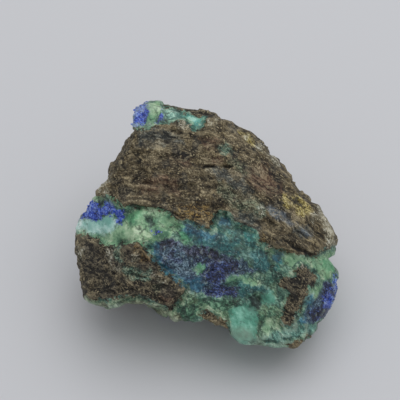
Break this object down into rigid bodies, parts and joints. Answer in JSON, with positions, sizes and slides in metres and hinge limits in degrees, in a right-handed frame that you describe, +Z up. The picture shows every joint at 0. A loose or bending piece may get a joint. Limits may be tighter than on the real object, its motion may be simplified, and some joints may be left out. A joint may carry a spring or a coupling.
{
  "type": "chrysocolla specimen",
  "caption": "Rough hand-sized stone of brown ironstone with a vein of chrysocolla, azurite and malachite across its display face; rests on a flat broken face.",
  "frame": {"origin": "middle of the stone's outline on the surface that it rests on", "axes": "+Z up; the display face looks towards -Y and up, at about 52 degrees above the horizon; +X to the right as the display face is seen, along the stone's longest side"},
  "size_m": [0.0678, 0.0632, 0.0475],
  "materials": {
    "ironstone": "dull broken limonite rock"
  },
  "bodies": {
    "root": {"stone": "ironstone"}
  },
  "joints": []
}
